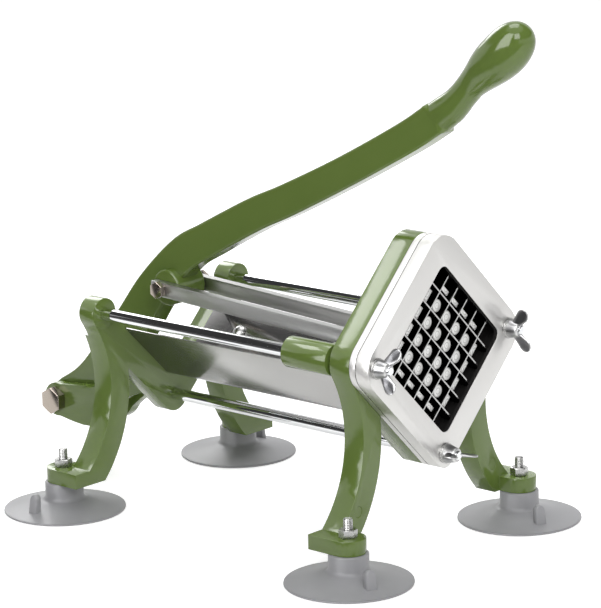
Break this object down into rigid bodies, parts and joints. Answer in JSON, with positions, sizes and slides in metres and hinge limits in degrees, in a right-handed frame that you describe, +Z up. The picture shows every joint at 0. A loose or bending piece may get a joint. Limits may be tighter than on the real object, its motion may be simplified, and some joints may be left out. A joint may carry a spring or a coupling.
{
  "type": "french fry cutter",
  "caption": "Hand-lever french fry cutter: links pull a toothed pusher along guide rods and drive a potato through a square blade grid on a green cast frame with suction feet.",
  "frame": {"origin": "on the counter, under the middle of the whole cutter's box", "axes": "+X forward, the way the cut sticks leave; +Y to the far side of the picture, left of an operator looking along +X; +Z up"},
  "size_m": [0.4116, 0.2456, 0.3362],
  "materials": {
    "green_enamel": "glossy olive-green enamel on castings",
    "machined_metal": "satin machined",
    "steel": "bright cold-rolled sheet and flat bar",
    "polished_rod": "polished",
    "nickel": "warm bright nickel",
    "zinc_fastener": "bright zinc",
    "grey_rubber": "smooth grey rubber"
  },
  "bodies": {
    "frame": {"front_frame": "green_enamel", "rear_frame": "green_enamel", "trough": "steel", "trough_screw": "zinc_fastener", "trough_nut": "zinc_fastener", "guide_rod_near": "polished_rod", "guide_rod_far": "polished_rod", "tie_rod": "polished_rod", "rod_nuts": "zinc_fastener", "blade_holder_front": "machined_metal", "blade_holder_rear": "machined_metal", "blades_rising": "steel", "blades_falling": "steel", "holder_washers": "zinc_fastener", "pivot_bolt": "nickel", "pivot_nut": "nickel", "suction_cup_front_near": "grey_rubber", "suction_cup_front_far": "grey_rubber", "suction_cup_rear_near": "grey_rubber", "suction_cup_rear_far": "grey_rubber", "foot_studs": "zinc_fastener", "foot_nuts": "zinc_fastener"},
    "lever": {"lever": "green_enamel"},
    "pusher": {"pusher_carriage": "green_enamel", "pusher_head": "machined_metal", "pusher_head_screws": "zinc_fastener"},
    "links": {"link_near": "steel", "link_far": "steel", "link_bolt": "nickel", "link_nut": "nickel", "carriage_bolts": "nickel"},
    "wing_nut_near": {"wing_nut_near": "zinc_fastener"},
    "wing_nut_far": {"wing_nut_far": "zinc_fastener"},
    "wing_nut_bottom": {"wing_nut_bottom": "zinc_fastener"}
  },
  "joints": [
    {"name": "lever_hinge", "type": "hinge", "parent": "frame", "child": "lever", "pos_m": [-0.19277, 0, 0.047], "axis": [0, -1, 0], "range_deg": [0, 60]},
    {"name": "pusher_slide", "type": "slide", "parent": "frame", "child": "pusher", "axis": [-1, 0, 0], "range_m": [0, 0.1408]},
    {"name": "link_hinge", "type": "hinge", "parent": "lever", "child": "links", "pos_m": [-0.08781, 0, 0.13889], "axis": [0, -1, 0], "range_deg": [-75.9, 0]},
    {"name": "wing_nut_near_turn", "type": "hinge", "parent": "frame", "child": "wing_nut_near", "pos_m": [0.15193, -0.06301, 0.1304], "axis": [1, 0, 0], "continuous": true},
    {"name": "wing_nut_far_turn", "type": "hinge", "parent": "frame", "child": "wing_nut_far", "pos_m": [0.15193, 0.06301, 0.1304], "axis": [1, 0, 0], "continuous": true},
    {"name": "wing_nut_bottom_turn", "type": "hinge", "parent": "frame", "child": "wing_nut_bottom", "pos_m": [0.15193, 0, 0.06367], "axis": [1, 0, 0], "continuous": true}
  ],
  "couplings": [
    {"joint": "pusher_slide", "follows": "lever_hinge", "m_per_rad": 0.13432},
    {"joint": "link_hinge", "follows": "lever_hinge", "ratio": -1.2637}
  ]
}
